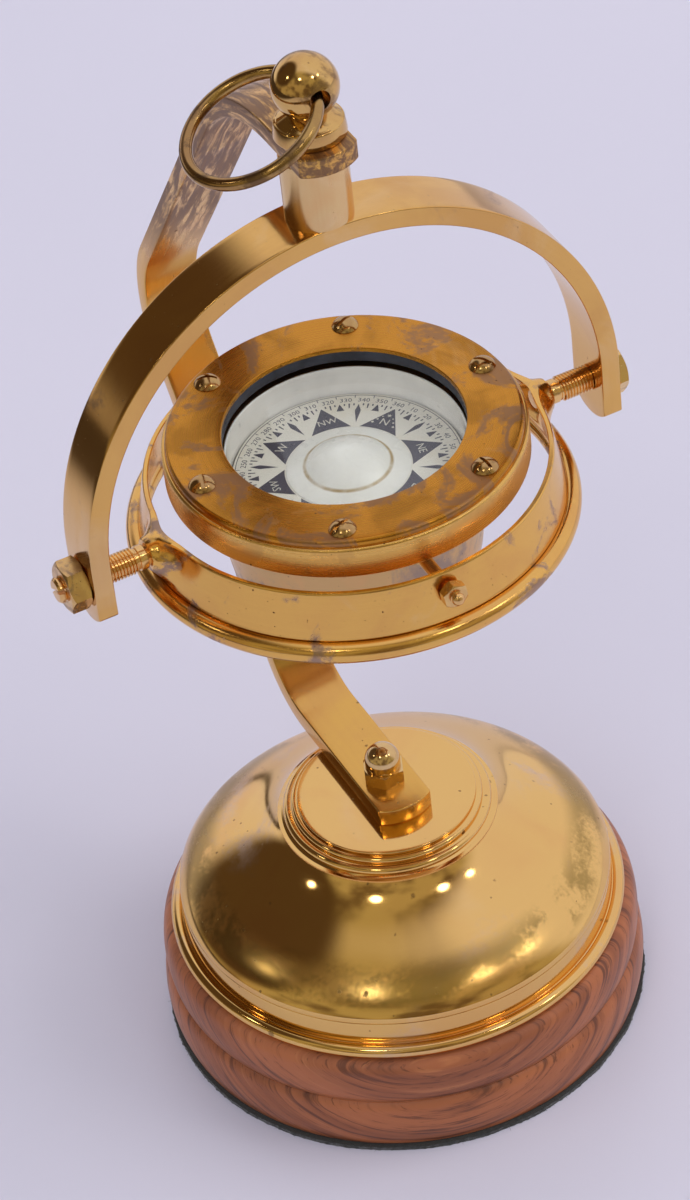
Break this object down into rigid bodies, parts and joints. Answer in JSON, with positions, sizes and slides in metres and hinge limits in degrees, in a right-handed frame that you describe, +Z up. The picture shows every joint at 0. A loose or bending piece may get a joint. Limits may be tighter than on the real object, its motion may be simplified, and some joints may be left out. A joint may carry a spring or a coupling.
{
  "type": "marine compass",
  "caption": "Gimballed liquid marine compass hung from a round yoke under a bent flat brass arm, with a lifting ring, on a turned wooden foot with a domed brass cover.",
  "frame": {"origin": "centre of the felt's underside, where the compass stands", "axes": "+Z up along the foot's axis and the yoke's swivel, X along the yoke's pins, +Y towards the arm's knee"},
  "size_m": [0.1835, 0.2035, 0.3524],
  "materials": {
    "felt": "matte",
    "walnut": "oiled, satin",
    "brass": "polished, with patina",
    "dark_brass": "tarnished",
    "grey_brass": "oxidised",
    "steel": "plain",
    "lead": "dull",
    "glass": "polished",
    "gasket": "matte",
    "enamel": "glossy cream-white enamel",
    "card": "white with dark print",
    "float": "smooth",
    "jewel": "polished"
  },
  "bodies": {
    "stand": {"base_felt": "felt", "wood_base": "walnut", "base_cover": "brass", "base_stud": "dark_brass", "base_washer": "steel", "base_nut": "steel", "arm": "brass", "dome_nut": "brass", "finial": "brass", "pivot_bolt": "dark_brass"},
    "lifting_ring": {"lifting_ring": "brass"},
    "yoke": {"yoke": "brass", "yoke_boss": "brass", "gimbal_pin_left": "dark_brass", "gimbal_pin_right": "dark_brass", "gimbal_nut_left": "brass", "gimbal_nut_right": "brass"},
    "gimbal_ring": {"gimbal_ring": "brass", "bowl_pin_front": "dark_brass", "bowl_pin_rear": "dark_brass", "bowl_pin_nuts": "brass"},
    "bowl": {"bowl_shell": "grey_brass", "bowl_flange": "grey_brass", "trunnion_bushes": "brass", "bezel_ring": "brass", "bezel_screws": "dark_brass", "cover_glass": "glass", "glass_gasket": "gasket", "bowl_liner": "enamel", "ballast": "lead", "filler_plug": "dark_brass", "pivot_post": "steel"},
    "card": {"compass_card": "card", "card_float": "float", "jewel_cup": "jewel", "card_magnets": "steel"}
  },
  "joints": [
    {"name": "lifting_ring_swing", "type": "hinge", "parent": "stand", "child": "lifting_ring", "pos_m": [0, 0, 0.34292], "axis": [0, 1, 0], "range_deg": [-29, 253]},
    {"name": "yoke_swivel", "type": "hinge", "parent": "stand", "child": "yoke", "pos_m": [0, 0, 0.311], "axis": [0, 0, 1], "continuous": true},
    {"name": "gimbal_roll", "type": "hinge", "parent": "yoke", "child": "gimbal_ring", "pos_m": [0, 0, 0.2078], "axis": [1, 0, 0], "continuous": true},
    {"name": "gimbal_pitch", "type": "hinge", "parent": "gimbal_ring", "child": "bowl", "pos_m": [0, 0, 0.2078], "axis": [0, 1, 0], "continuous": true},
    {"name": "card_spin", "type": "hinge", "parent": "bowl", "child": "card", "pos_m": [0, 0, 0.2102], "axis": [0, 0, 1], "continuous": true}
  ]
}
